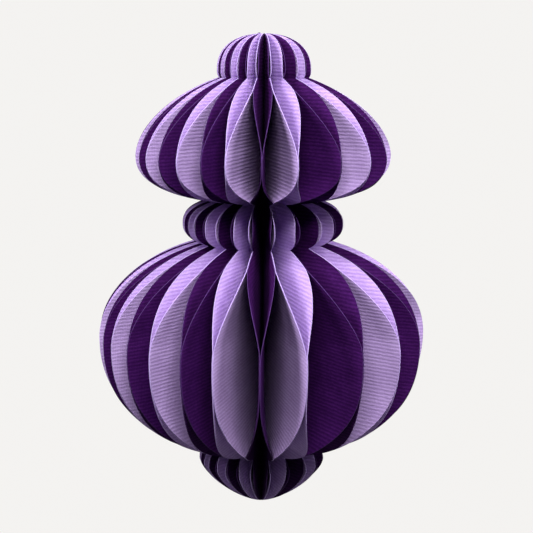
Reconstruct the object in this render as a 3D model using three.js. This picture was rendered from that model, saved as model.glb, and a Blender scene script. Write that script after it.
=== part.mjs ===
// A tiered paper honeycomb ornament. Forty-eight die-cut card leaves stand round a sewn spine like the pages of
// a book opened through a full circle. Each leaf is hinged to the next along its inner edge, and flat magnets on
// the two end leaves hold the circle shut. Millimetres, +Z up. The origin is the middle of the spine's top, from
// which the ornament hangs.

import * as THREE from "three";

// Driving dimensions
const LEAF_COUNT = 48;
const CARD = 0.25; // thickness of the card
const SPINE_RADIUS = 4.1; // circle on which the inner edges and the hinge lines stand
const APEX = 0; // height of the top of the outline
const NECK_STEPS = 30; // halvings used to find where two tiers cross

// The leaf's outline is five bulges on one axis. Each is a pair of superellipse quarters that share a widest
// radius: rise and riseShape give the upper quarter, fall and fallShape the lower one. depth is below the apex.
const TIERS = [
  { name: "dome", radius: 19.7, depth: 15, rise: 15, riseShape: 2.3, fall: 6, fallShape: 3, steps: 4 },
  { name: "disc", radius: 53.9, depth: 50, rise: 35.7, riseShape: 1.7, fall: 20, fallShape: 2.4, steps: 5 },
  { name: "ring", radius: 34.2, depth: 79, rise: 12, riseShape: 2.5, fall: 11.3, fallShape: 2.5, steps: 4 },
  { name: "ball", radius: 70, depth: 127, rise: 43.5, riseShape: 2, fall: 51.6, fallShape: 2.2, steps: 6 },
  { name: "bud", radius: 27.3, depth: 183, rise: 12, riseShape: 2.5, fall: 20, fallShape: 1.4, steps: 4 },
];

// The leaves spread a little wider on the ornament's right than on its left.
const SPREAD = 0.35;
const PITCH = (2 * Math.PI) / LEAF_COUNT;

const MAGNET = { radius: 3, thickness: 0.6, sides: 24, gap: 0.3 };
const MAGNET_PLACES = [
  { tier: "disc", reach: 44, depth: 50 },
  { tier: "ball", reach: 60, depth: 127 },
];

// The thread runs down inside the first leaf's inner edge, between a knot at each end.
const THREAD = { radius: 0.5, reach: 3.3 };
const KNOT = { radius: 1, reach: 3, topDepth: 0.5, bottomDepth: 202, gap: 0.3 };

const PLUM = new THREE.MeshStandardMaterial({ color: 0x3a1468, roughness: 0.85, metalness: 0 });
const LILAC = new THREE.MeshStandardMaterial({ color: 0xa58fd6, roughness: 0.85, metalness: 0 });
const NICKEL = new THREE.MeshStandardMaterial({ color: 0xb9bbc0, roughness: 0.3, metalness: 1 });
const COTTON = new THREE.MeshStandardMaterial({ color: 0x2a1144, roughness: 0.95, metalness: 0 });

const twoDigits = (number) => String(number).padStart(2, "0");

// The outline

const shapeOf = (tier, above) =>
  above ? { height: tier.rise, power: tier.riseShape } : { height: tier.fall, power: tier.fallShape };

function tierRadius(tier, z) {
  const offset = z - (APEX - tier.depth);
  const { height, power } = shapeOf(tier, offset > 0);
  const share = Math.abs(offset) / height;
  return share >= 1 ? 0 : tier.radius * (1 - share ** power) ** (1 / power);
}

function quarter(tier, above) {
  const { height, power } = shapeOf(tier, above);
  const points = [];
  for (let i = 0; i <= tier.steps; i++) {
    const turn = (i / tier.steps) * (Math.PI / 2);
    const out = tier.radius * Math.cos(turn) ** (2 / power);
    const along = height * Math.sin(turn) ** (2 / power);
    points.push(new THREE.Vector2(out, APEX - tier.depth + (above ? along : -along)));
  }
  return points;
}

// The height between two neighbouring tiers' widest points at which their outlines cross
function neckBetween(upper, lower) {
  let high = APEX - upper.depth;
  let low = APEX - lower.depth;
  for (let i = 0; i < NECK_STEPS; i++) {
    const middle = (high + low) / 2;
    if (tierRadius(upper, middle) > tierRadius(lower, middle)) high = middle;
    else low = middle;
  }
  return new THREE.Vector2(tierRadius(lower, low), low);
}

// Where a quarter reaches the spine's circle
function spineCorner(tier, above) {
  const { height, power } = shapeOf(tier, above);
  const share = (1 - (SPINE_RADIUS / tier.radius) ** power) ** (1 / power);
  return new THREE.Vector2(SPINE_RADIUS, APEX - tier.depth + (above ? share : -share) * height);
}

function leafOutline() {
  const necks = TIERS.slice(1).map((tier, i) => neckBetween(TIERS[i], tier));
  const clearOfNecks = 0.8;
  const points = [spineCorner(TIERS[0], true)];
  TIERS.forEach((tier, i) => {
    const top = i === 0 ? points[0].y : necks[i - 1].y;
    const bottom = i === TIERS.length - 1 ? spineCorner(tier, false).y : necks[i].y;
    const round = [...quarter(tier, true).reverse(), ...quarter(tier, false).slice(1)];
    const inside = (p) => p.y < top - clearOfNecks && p.y > bottom + clearOfNecks && p.x > SPINE_RADIUS;
    points.push(...round.filter(inside));
    points.push(i === TIERS.length - 1 ? spineCorner(tier, false) : necks[i]);
  });
  return points;
}

// Where the leaves stand

// Turns an even turn round the spine, 0 at the front, into the leaf's azimuth, wider on the right
const spreadTurn = (turn) => turn + SPREAD * (1 - Math.cos(turn));

function leafAzimuth(index) {
  if (index === 0) return spreadTurn(-Math.PI);
  if (index === LEAF_COUNT - 1) return spreadTurn(Math.PI);
  return spreadTurn(-Math.PI + (index + 0.5) * PITCH);
}

// Two plum leaves, two lilac leaves and so on, with the two end leaves making one plum pair
const isPlum = (index) => Math.floor((index + 1) / 2) % 2 === 0;

// Places a piece made with +X outwards and +Z up on the leaf's azimuth, shifted sideways along its face
function placeOnLeaf(mesh, azimuth, sideways) {
  const pivot = new THREE.Group();
  pivot.rotation.z = azimuth - Math.PI / 2;
  mesh.position.y += sideways;
  pivot.add(mesh);
  return pivot;
}

// Half the space between the faces of the two end leaves, which lie side by side
const END_OFFSET = CARD / 2 + MAGNET.gap / 2;
const endOffset = (index) => (index === 0 ? END_OFFSET : index === LEAF_COUNT - 1 ? -END_OFFSET : 0);

function makeLeaf(index, outline) {
  const card = new THREE.ExtrudeGeometry(new THREE.Shape(outline), { depth: CARD, bevelEnabled: false });
  card.translate(0, 0, -CARD / 2);
  card.rotateX(Math.PI / 2);
  const plum = isPlum(index);
  const mesh = new THREE.Mesh(card, plum ? PLUM : LILAC);
  mesh.name = `${plum ? "plum" : "lilac"}_leaf_${twoDigits(index + 1)}`;
  return placeOnLeaf(mesh, leafAzimuth(index), endOffset(index));
}

// A magnet lies on the side of an end leaf that faces into the ornament, and pulls through both cards.
function makeMagnet(index, place) {
  const disc = new THREE.CylinderGeometry(MAGNET.radius, MAGNET.radius, MAGNET.thickness, MAGNET.sides);
  const mesh = new THREE.Mesh(disc, NICKEL);
  const side = index === 0 ? 1 : -1;
  mesh.name = `closure_magnet_${place.tier}_${index === 0 ? "first" : "last"}`;
  mesh.position.set(place.reach, 0, APEX - place.depth);
  const sideways = endOffset(index) + side * (CARD / 2 + MAGNET.gap + MAGNET.thickness / 2);
  return placeOnLeaf(mesh, leafAzimuth(index), sideways);
}

function makeThread() {
  const top = APEX - KNOT.topDepth - KNOT.radius - KNOT.gap;
  const bottom = APEX - KNOT.bottomDepth + KNOT.radius + KNOT.gap;
  const rod = new THREE.CylinderGeometry(THREAD.radius, THREAD.radius, top - bottom, 8);
  rod.rotateX(Math.PI / 2);
  const mesh = new THREE.Mesh(rod, COTTON);
  mesh.name = "spine_thread";
  mesh.position.set(THREAD.reach, 0, (top + bottom) / 2);
  return placeOnLeaf(mesh, leafAzimuth(0), endOffset(0));
}

function makeKnot(name, depth) {
  const mesh = new THREE.Mesh(new THREE.SphereGeometry(KNOT.radius, 10, 8), COTTON);
  mesh.name = name;
  mesh.position.set(KNOT.reach, 0, APEX - depth);
  return placeOnLeaf(mesh, leafAzimuth(0), endOffset(0));
}

const ornament = new THREE.Group();
const outline = leafOutline();
for (let index = 0; index < LEAF_COUNT; index++) ornament.add(makeLeaf(index, outline));
for (const place of MAGNET_PLACES) {
  ornament.add(makeMagnet(0, place));
  ornament.add(makeMagnet(LEAF_COUNT - 1, place));
}
ornament.add(makeThread());
ornament.add(makeKnot("top_knot", KNOT.topDepth));
ornament.add(makeKnot("bottom_knot", KNOT.bottomDepth));

export default ornament;
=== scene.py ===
"""A tiered paper honeycomb ornament: ribbed card leaves round a sewn spine, glued edge to edge in turn."""

import math
import random
from collections import namedtuple

import bmesh
import bpy
from mathutils import Matrix, Vector


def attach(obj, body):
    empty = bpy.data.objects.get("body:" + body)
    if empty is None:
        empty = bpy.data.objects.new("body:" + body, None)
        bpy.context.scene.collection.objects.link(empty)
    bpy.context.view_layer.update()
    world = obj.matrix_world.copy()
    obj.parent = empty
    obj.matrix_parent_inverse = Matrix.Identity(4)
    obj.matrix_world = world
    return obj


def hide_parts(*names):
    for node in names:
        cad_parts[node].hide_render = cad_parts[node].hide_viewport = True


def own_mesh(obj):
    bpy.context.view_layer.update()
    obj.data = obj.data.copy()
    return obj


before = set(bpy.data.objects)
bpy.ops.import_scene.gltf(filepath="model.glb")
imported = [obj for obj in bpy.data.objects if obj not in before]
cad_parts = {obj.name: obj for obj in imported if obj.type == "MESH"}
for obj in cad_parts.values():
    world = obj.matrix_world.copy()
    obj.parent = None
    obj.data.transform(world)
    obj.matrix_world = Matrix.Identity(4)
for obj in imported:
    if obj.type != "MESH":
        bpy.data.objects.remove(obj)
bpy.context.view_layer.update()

MM = 0.001

# ---------------------------------------------------------------- the leaf's outline, in millimetres
# Five bulges on one axis, each a pair of superellipse quarters. depth is how far the widest point is below the
# apex. glued is the length of the stretch there where leaves of one colour are glued. In the small tiers it is
# 0: the leaves of one colour aren't glued, and the cells between them stay open.
Tier = namedtuple("Tier", "name radius depth rise rise_power fall fall_power glued")
TIERS = [
    Tier("dome", 19.7, 15, 15, 2.3, 6, 3, 0),
    Tier("disc", 53.9, 50, 35.7, 1.7, 20, 2.4, 7),
    Tier("ring", 34.2, 79, 12, 2.5, 11.3, 2.5, 0),
    Tier("ball", 70, 127, 43.5, 2, 51.6, 2.2, 12),
    Tier("bud", 27.3, 183, 12, 2.5, 20, 1.4, 0),
]
LEAF_COUNT = 48
PITCH = 2 * math.pi / LEAF_COUNT
SPREAD = 0.35  # how much wider than even the leaves spread on the right, and narrower on the left
CARD = 0.27  # thickness of the card
SPINE = 2.0  # the leaves touch one another here, so no light comes through the middle
GLUE = 0.03  # space that the glue keeps between two leaves' faces
EASE = 0.6  # power by which a leaf's sideways lean grows from the spine out
SHOULDER = 0.86  # where the other neighbour is glued, as a share of the way from widest point to neck
# Powers above 1: partners part slowly from their own glue spot and fast near the other one, later below it
CLOSING_ABOVE = 1.4
CLOSING_BELOW = 2.6
NARROWING = 0.35  # how much an unglued cell narrows at its tier's widest point
DRIFT = 0.03  # the most, in radians, that a glued pair stands off its even place

GLUE_SHIFT = 1.2  # the most that a leaf's glue spots stand above or below their even height
BOW = 0.06  # the most that a leaf bows, as a share of half the space between two leaves
BOW_WAVE = 23  # the bow's wave down the leaf repeats every 2 pi times this

GRAIN_UNIT = 100  # millimetres of card to one unit of its grain map

GRAIN_STEP = (0.37, 0.61)  # moves each leaf's grain on from the last one's, in grain map units

NECK_HALVINGS = 30
OUTLINE_SAMPLES = 600  # in each tier
ROW_STEP = 0.95
COLUMNS = 14
SHORTEST_NORMAL = 1e-6  # a shorter one has no direction to speak of


def half_shape(tier, above):
    """The height and power of a tier's quarter above or below its widest point."""
    return (tier.rise, tier.rise_power) if above else (tier.fall, tier.fall_power)


def tier_radius(tier, z):
    offset = z + tier.depth
    height, power = half_shape(tier, offset > 0)
    share = abs(offset) / height
    return tier.radius * (1 - share ** power) ** (1 / power) if share < 1 else 0.0


def neck_height(upper, lower):
    """The height at which two neighbouring tiers' outlines cross."""
    high, low = -upper.depth, -lower.depth
    for _ in range(NECK_HALVINGS):
        middle = (high + low) / 2
        if tier_radius(upper, middle) > tier_radius(lower, middle):
            high = middle
        else:
            low = middle
    return (high + low) / 2


def spine_height(tier, above):
    """The height at which a tier's outline reaches the spine."""
    height, power = half_shape(tier, above)
    share = (1 - (SPINE / tier.radius) ** power) ** (1 / power)
    return -tier.depth + (share if above else -share) * height


NECKS = [neck_height(a, b) for a, b in zip(TIERS, TIERS[1:])]
TOP = spine_height(TIERS[0], True)
BOTTOM = spine_height(TIERS[-1], False)
TIER_ENDS = [TOP] + NECKS + [BOTTOM]


def outline_rows():
    """(height, radius) down the leaf, at least ROW_STEP apart along the outline within each tier."""
    rows = []
    for tier, high, low in zip(TIERS, TIER_ENDS, TIER_ENDS[1:]):
        dense = [high + (low - high) * i / OUTLINE_SAMPLES for i in range(OUTLINE_SAMPLES + 1)]
        points = [(z, max(tier_radius(tier, z), SPINE)) for z in dense]
        kept = [points[0]]
        for point in points[1:-1]:
            if math.hypot(point[0] - kept[-1][0], point[1] - kept[-1][1]) >= ROW_STEP:
                kept.append(point)
        rows += kept
    rows.append((BOTTOM, SPINE))
    return rows


ROWS = outline_rows()


# ---------------------------------------------------------------- where the leaves stand
def spread_turn(turn):
    """Turns an even turn round the spine, 0 at the front, into an azimuth, wider on the right."""
    return turn + SPREAD * (1 - math.cos(turn))


def cad_azimuth(index):
    """The azimuth of the flat leaf in the frame, 0 at the front and growing to the right."""
    if index == 0:
        return spread_turn(-math.pi)
    if index == LEAF_COUNT - 1:
        return spread_turn(math.pi)
    return spread_turn(leaf_turn(index))


def leaf_turn(index):
    return -math.pi + (index + 0.5) * PITCH


def is_plum(index):
    """Two plum leaves, two lilac leaves and so on, with the two end leaves making one plum pair."""
    return (index + 1) // 2 % 2 == 0


def outward(azimuth):
    return Vector((math.sin(azimuth), -math.cos(azimuth), 0))


def sideways(azimuth):
    return Vector((math.cos(azimuth), math.sin(azimuth), 0))


def parted(share, closing):
    return min(max(share, 0.0), 1.0) ** closing


def lean(z, shift):
    """1 where a leaf is glued to its partner of the same colour, -1 where it meets its other neighbour."""
    for tier, high, low in zip(TIERS, TIER_ENDS, TIER_ENDS[1:]):
        if high >= z >= low:
            middle, half = -tier.depth + shift, tier.glued / 2
            if not half:
                way = (high - z) / (high - middle) if z > middle else (z - low) / (middle - low)
                return -1 + NARROWING * math.sin(math.pi / 2 * way) ** 2
            if z > middle:
                span = (high - middle) * SHOULDER - half
                return 1 - 2 * parted((z - middle - half) / span, CLOSING_ABOVE)
            span = (middle - low) * SHOULDER - half
            return 1 - 2 * parted((middle - half - z) / span, CLOSING_BELOW)
    return -1.0


def pair_drifts(draw):
    """How far each glued pair stands off its even place. The pair at the seam keeps its place."""
    return [0.0] + [draw.uniform(-DRIFT, DRIFT) for _ in range(LEAF_COUNT // 2 - 1)]


def leaf_points(index, drifts, draw):
    """The leaf's middle surface as (place, grain): rows down the outline, columns from the spine out."""
    partner = 1 if index % 2 else -1
    turn = leaf_turn(index)
    pair = (index + 1) // 2 % len(drifts)
    own = drifts[pair]
    shared = (own + drifts[(pair - partner) % len(drifts)]) / 2
    shift = draw.uniform(-GLUE_SHIFT, GLUE_SHIFT)
    bow = draw.uniform(-BOW, BOW)
    wave = draw.uniform(0, 2 * math.pi)
    grid = []
    for z, radius in ROWS:
        near_partner = lean(z, shift)
        way = partner * near_partner
        drift = shared + (own - shared) * (1 + near_partner) / 2
        row = []
        for column in range(COLUMNS + 1):
            share = column / COLUMNS
            out = SPINE + (radius - SPINE) * share
            ease = (out / radius) ** EASE if radius > SPINE else 1.0
            flutter = bow * math.sin(math.pi * share) * math.sin(z / BOW_WAVE + wave)
            azimuth = spread_turn(turn + drift * ease + PITCH / 2 * (way * ease + flutter))
            aside = -way * ease * (CARD / 2 + GLUE)
            place = outward(azimuth) * out + sideways(azimuth) * aside
            row.append((Vector((place.x, place.y, z)), (out, z)))
        grid.append(row)
    return grid


def leaf_normals(points, reference):
    """The normal at each point of the middle surface, all of them turned to the reference's side."""
    rows, columns = len(points), len(points[0])
    normals = []
    for i in range(rows):
        for j in range(columns):
            down = points[min(i + 1, rows - 1)][j] - points[max(i - 1, 0)][j]
            across = points[i][min(j + 1, columns - 1)] - points[i][max(j - 1, 0)]
            normal = across.cross(down)
            if normal.length < SHORTEST_NORMAL:
                normal = reference
            normal = normal.normalized()
            normals.append(-normal if normal.dot(reference) < 0 else normal)
    return normals


def leaf_faces(rows, columns):
    """The card's two sides and the strip round its cut edge, as (faces, kinds). Kind 1 is the cut edge."""
    half = rows * columns
    faces, kinds = [], []
    for i in range(rows - 1):
        for j in range(columns - 1):
            corners = ((i, j), (i + 1, j), (i + 1, j + 1), (i, j + 1))
            front = [row * columns + column for row, column in corners]
            faces += [front, [vertex + half for vertex in reversed(front)]]
            kinds += [0, 0]
    border = [(i, 0) for i in range(rows)]
    border += [(rows - 1, j) for j in range(1, columns)]
    border += [(i, columns - 1) for i in range(rows - 2, -1, -1)]
    border += [(0, j) for j in range(columns - 2, 0, -1)]
    border = [row * columns + column for row, column in border]
    for first, second in zip(border, border[1:] + border[:1]):
        faces.append([first + half, second + half, second, first])
        kinds.append(1)
    return faces, kinds


def leaf_mesh(index, drifts, draw):
    """The card's vertices in metres, its faces, their kinds, and each vertex's place in the card's grain."""
    grid = leaf_points(index, drifts, draw)
    points = [[place for place, _ in row] for row in grid]
    places = [place for row in points for place in row]
    normals = leaf_normals(points, sideways(cad_azimuth(index)))
    verts = []
    for side in (1, -1):
        verts += [(place + normal * side * CARD / 2) * MM for place, normal in zip(places, normals)]
    faces, kinds = leaf_faces(len(points), len(points[0]))
    return verts, faces, kinds, [grain for row in grid for _, grain in row] * 2


def fix_normals(mesh):
    """Joins points that coincide and turns every face outwards."""
    work = bmesh.new()
    work.from_mesh(mesh)
    bmesh.ops.remove_doubles(work, verts=work.verts, dist=1e-8)
    bmesh.ops.dissolve_degenerate(work, edges=work.edges, dist=1e-7)
    bmesh.ops.recalc_face_normals(work, faces=work.faces)
    work.to_mesh(mesh)
    work.free()


def make_leaf(index, drifts, draw, card, edge):
    node = f"{'plum' if is_plum(index) else 'lilac'}_leaf_{index + 1:02d}"
    body = "spine" if index == 0 else f"leaf_{index + 1:02d}"
    verts, faces, kinds, uv_of = leaf_mesh(index, drifts, draw)
    mesh = bpy.data.meshes.new(f"card_{node}")
    mesh.from_pydata(verts, [], faces)
    layer = mesh.uv_layers.new(name="grain")
    step_out, step_up = GRAIN_STEP
    for loop in mesh.loops:
        out, z = uv_of[loop.vertex_index]
        layer.data[loop.index].uv = (out / GRAIN_UNIT + index * step_out, z / GRAIN_UNIT + index * step_up)
    mesh.materials.append(card)
    mesh.materials.append(edge)
    for polygon, kind in zip(mesh.polygons, kinds):
        polygon.material_index = kind
        polygon.use_smooth = True
    mesh.validate()
    bpy.context.view_layer.update()
    leaf = bpy.data.objects.new(f"card_{node}", mesh)
    bpy.context.scene.collection.objects.link(leaf)
    fix_normals(mesh)
    mesh.set_sharp_from_angle(angle=math.radians(50))
    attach(leaf, body)
    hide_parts(node)
    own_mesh(leaf)


# ---------------------------------------------------------------- materials
RIB_PITCH = 1.43  # millimetres
WEAVE_PITCH = 0.75
RIB_WANDER = 1.6


def new_material(name):
    material = bpy.data.materials.new(name)
    material.use_nodes = True
    nodes = material.node_tree.nodes
    return material, nodes, material.node_tree.links, nodes["Principled BSDF"]


def ramp(nodes, links, source, stops):
    node = nodes.new("ShaderNodeValToRGB")
    elements = node.color_ramp.elements
    while len(elements) < len(stops):
        elements.new(0.5)
    for element, (place, colour) in zip(elements, stops):
        element.position = place
        element.color = (*colour, 1)
    links.new(source, node.inputs["Fac"])
    return node.outputs["Color"]


def noise(nodes, links, vector, scale, detail, roughness):
    node = nodes.new("ShaderNodeTexNoise")
    node.inputs["Scale"].default_value = scale
    node.inputs["Detail"].default_value = detail
    node.inputs["Roughness"].default_value = roughness
    links.new(vector, node.inputs["Vector"])
    return node.outputs["Fac"]


def stretched(nodes, links, vector, across, along):
    node = nodes.new("ShaderNodeMapping")
    node.inputs["Scale"].default_value = (across, along, 1)
    links.new(vector, node.inputs["Vector"])
    return node.outputs["Vector"]


def math_node(nodes, links, kind, first, second):
    node = nodes.new("ShaderNodeMath")
    node.operation = kind
    for socket, value in zip(node.inputs, (first, second)):
        if isinstance(value, (int, float)):
            socket.default_value = value
        else:
            links.new(value, socket)
    return node.outputs["Value"]


def blended(nodes, links, layers):
    """The sum of (source, share) layers."""
    total = None
    for source, share in layers:
        part = math_node(nodes, links, "MULTIPLY", source, share)
        total = part if total is None else math_node(nodes, links, "ADD", total, part)
    return total


def rib_wave(nodes, links, vector, direction, period_mm, distortion):
    """Bands period_mm apart on the grain map. A wave of scale 1 repeats every pi / 10 units."""
    node = nodes.new("ShaderNodeTexWave")
    node.wave_type = "BANDS"
    node.bands_direction = direction
    node.wave_profile = "SIN"
    node.inputs["Scale"].default_value = GRAIN_UNIT / period_mm * math.pi / 10
    node.inputs["Distortion"].default_value = distortion
    node.inputs["Detail"].default_value = 2
    node.inputs["Detail Scale"].default_value = 1.5
    links.new(vector, node.inputs["Vector"])
    return node.outputs["Fac"]


def add_bump(nodes, links, shader, height, depth_mm, strength=1.0):
    bump = nodes.new("ShaderNodeBump")
    bump.inputs["Strength"].default_value = strength
    bump.inputs["Distance"].default_value = depth_mm * MM
    links.new(height, bump.inputs["Height"])
    links.new(bump.outputs["Normal"], shader.inputs["Normal"])


def vary_roughness(nodes, links, shader, source, low, high):
    spread = nodes.new("ShaderNodeMapRange")
    spread.inputs["To Min"].default_value = low
    spread.inputs["To Max"].default_value = high
    links.new(source, spread.inputs["Value"])
    links.new(spread.outputs["Result"], shader.inputs["Roughness"])


def card_material(name, dark, middle, light, rib_depth, roughness):
    """Ribbed card: ribs run from the spine out, crossed by a finer weave, with felted fibres over both.

    rib_depth is in millimetres. dark, middle and light are the card's own colour variation; the ribs' share of
    the mix adds painted shade and painted highlight along the ribs.
    """
    material, nodes, links, shader = new_material(name)
    grain = nodes.new("ShaderNodeUVMap")
    grain.uv_map = "grain"
    uv = grain.outputs["UV"]
    ribs = rib_wave(nodes, links, uv, "Y", RIB_PITCH, RIB_WANDER)
    weave = rib_wave(nodes, links, uv, "X", WEAVE_PITCH, RIB_WANDER)
    fibres = noise(nodes, links, stretched(nodes, links, uv, 60, 130), 1.0, 5.0, 0.7)
    specks = noise(nodes, links, uv, 160, 4.0, 0.7)
    clouds = noise(nodes, links, uv, 14, 3.0, 0.55)
    # fibres, clouds and specks are the card's own tone; the ribs' share is painted shade in the rib hollows
    # and painted highlight on the rib ridges
    mottle_and_rib_shade = blended(nodes, links, [(fibres, 0.45), (clouds, 0.25), (ribs, 0.14), (specks, 0.21)])
    colour = ramp(nodes, links, mottle_and_rib_shade, [(0.3, dark), (0.5, middle), (0.7, light)])
    links.new(colour, shader.inputs["Base Color"])
    height = blended(nodes, links, [(ribs, 0.6), (weave, 0.22), (fibres, 0.5), (specks, 0.35)])
    add_bump(nodes, links, shader, height, rib_depth, 0.8)
    vary_roughness(nodes, links, shader, specks, roughness - 0.08, roughness + 0.08)
    shader.inputs["Specular IOR Level"].default_value = 0.08
    return material


def edge_material(name, dark, light):
    """The cut edge of the card, close to the card's own colour and without its ribs."""
    material, nodes, links, shader = new_material(name)
    grain = nodes.new("ShaderNodeUVMap")
    grain.uv_map = "grain"
    fibres = noise(nodes, links, grain.outputs["UV"], 90, 4.0, 0.7)
    links.new(ramp(nodes, links, fibres, [(0.35, dark), (0.65, light)]), shader.inputs["Base Color"])
    shader.inputs["Roughness"].default_value = 0.9
    return material


def thread_material():
    material, nodes, links, shader = new_material("twisted_cotton")
    place = nodes.new("ShaderNodeTexCoord").outputs["Object"]
    twist = nodes.new("ShaderNodeTexWave")
    twist.bands_direction = "DIAGONAL"
    twist.inputs["Scale"].default_value = 400
    links.new(place, twist.inputs["Vector"])
    colour = ramp(nodes, links, twist.outputs["Fac"], [(0.2, (0.03, 0.01, 0.05)), (0.8, (0.10, 0.04, 0.16))])
    links.new(colour, shader.inputs["Base Color"])
    add_bump(nodes, links, shader, twist.outputs["Fac"], 0.2)
    shader.inputs["Roughness"].default_value = 0.9
    return material


def magnet_material():
    material, nodes, links, shader = new_material("nickel_plate")
    place = nodes.new("ShaderNodeTexCoord").outputs["Object"]
    scuffs = noise(nodes, links, place, 900, 4.0, 0.7)
    colour = ramp(nodes, links, scuffs, [(0.3, (0.52, 0.52, 0.55)), (0.7, (0.72, 0.71, 0.70))])
    links.new(colour, shader.inputs["Base Color"])
    shader.inputs["Metallic"].default_value = 1.0
    vary_roughness(nodes, links, shader, scuffs, 0.22, 0.45)
    return material


# ---------------------------------------------------------------- the camera and the room
PALE = (0.905, 0.893, 0.877, 1)
CAMERA_PLACE = (0, -0.506, -0.008)
CAMERA_TILT = 10.1  # degrees below level
CAMERA_ROLL = 0.4  # degrees
FLOOR_HEIGHT = -0.65
FLOOR_HALF = 15


def make_camera():
    """Level with the dome, half a metre from the spine, looking a little down."""
    data = bpy.data.cameras.new("camera")
    data.lens = 80.9
    data.sensor_width = 36
    data.shift_x = 0.007
    data.clip_start = 0.02
    camera = bpy.data.objects.new("camera", data)
    bpy.context.scene.collection.objects.link(camera)
    pitch = math.radians(90 - CAMERA_TILT)
    turn = Matrix.Rotation(pitch, 4, "X") @ Matrix.Rotation(math.radians(CAMERA_ROLL), 4, "Z")
    camera.matrix_world = Matrix.Translation(CAMERA_PLACE) @ turn
    bpy.context.scene.camera = camera


def area_light(name, place, target, size, power, colour):
    data = bpy.data.lights.new(name, "AREA")
    data.shape = "RECTANGLE"
    data.size, data.size_y = size
    data.energy = power
    data.color = colour
    light = bpy.data.objects.new(name, data)
    bpy.context.scene.collection.objects.link(light)
    light.location = place
    light.rotation_euler = (Vector(target) - Vector(place)).to_track_quat("-Z", "Y").to_euler()


def make_room():
    scene = bpy.context.scene
    world = bpy.data.worlds.new("studio")
    scene.world = world
    world.use_nodes = True
    nodes, links = world.node_tree.nodes, world.node_tree.links
    background = nodes["Background"]
    seen = nodes.new("ShaderNodeBackground")
    seen.inputs["Color"].default_value = PALE
    background.inputs["Color"].default_value = (0.93, 0.93, 1, 1)
    background.inputs["Strength"].default_value = 0.07
    path = nodes.new("ShaderNodeLightPath")
    mix = nodes.new("ShaderNodeMixShader")
    links.new(path.outputs["Is Camera Ray"], mix.inputs["Fac"])
    links.new(background.outputs["Background"], mix.inputs[1])
    links.new(seen.outputs["Background"], mix.inputs[2])
    links.new(mix.outputs["Shader"], nodes["World Output"].inputs["Surface"])
    scene.view_settings.view_transform = "Standard"
    middle = (0, 0, -0.1)
    area_light("high_front_soft", (0.05, -0.66, 0.62), middle, (0.6, 0.4), 13, (0.98, 0.97, 1))
    area_light("left_soft", (-0.8, -0.35, 0.5), middle, (0.5, 0.5), 11, (0.97, 0.96, 1))
    area_light("right_soft", (0.8, -0.3, 0.5), middle, (0.5, 0.5), 7, (0.97, 0.96, 1))
    for side in (-1, 1):
        area_light(f"back_soft_{side + 2}", (0.6 * side, 0.8, 0.45), middle, (0.6, 0.6), 13, (0.97, 0.96, 1))


def make_floor():
    """A plain pale floor well below the ornament, as bright to the eye as the backdrop."""
    mesh = bpy.data.meshes.new("floor")
    signs = ((-1, -1), (1, -1), (1, 1), (-1, 1))
    corners = [(x * FLOOR_HALF, y * FLOOR_HALF, FLOOR_HEIGHT) for x, y in signs]
    mesh.from_pydata(corners, [], [(0, 1, 2, 3)])
    floor = bpy.data.objects.new("floor", mesh)
    bpy.context.scene.collection.objects.link(floor)
    material = bpy.data.materials.new("pale_floor")
    material.use_nodes = True
    nodes, links = material.node_tree.nodes, material.node_tree.links
    seen = nodes.new("ShaderNodeEmission")
    seen.inputs["Color"].default_value = PALE
    shader = nodes["Principled BSDF"]
    shader.inputs["Base Color"].default_value = (0.14, 0.14, 0.14, 1)
    shader.inputs["Roughness"].default_value = 1.0
    path = nodes.new("ShaderNodeLightPath")
    mix = nodes.new("ShaderNodeMixShader")
    links.new(path.outputs["Is Camera Ray"], mix.inputs["Fac"])
    links.new(shader.outputs["BSDF"], mix.inputs[1])
    links.new(seen.outputs["Emission"], mix.inputs[2])
    links.new(mix.outputs["Shader"], nodes["Material Output"].inputs["Surface"])
    mesh.materials.append(material)


make_camera()
make_room()
make_floor()

plum_shades = [(0.018, 0.001, 0.034), (0.034, 0.003, 0.066), (0.066, 0.009, 0.115)]
lilac_shades = [(0.35, 0.23, 0.5), (0.48, 0.33, 0.65), (0.61, 0.44, 0.79)]
plum = card_material("plum_card", *plum_shades, rib_depth=0.08, roughness=0.85)
lilac = card_material("lilac_card", *lilac_shades, rib_depth=0.16, roughness=0.85)
plum_edge = edge_material("plum_edge", (0.022, 0.003, 0.052), (0.06, 0.012, 0.13))
lilac_edge = edge_material("lilac_edge", (0.36, 0.25, 0.56), (0.5, 0.37, 0.72))

draw = random.Random(11)
drifts = pair_drifts(draw)
for number in range(LEAF_COUNT):
    if is_plum(number):
        make_leaf(number, drifts, draw, plum, plum_edge)
    else:
        make_leaf(number, drifts, draw, lilac, lilac_edge)

cotton, nickel = thread_material(), magnet_material()
for name in ("spine_thread", "top_knot", "bottom_knot"):
    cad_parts[name].data.materials.clear()
    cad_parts[name].data.materials.append(cotton)
for tier in ("disc", "ball"):
    for end in ("first", "last"):
        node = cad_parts[f"closure_magnet_{tier}_{end}"]
        node.data.materials.clear()
        node.data.materials.append(nickel)
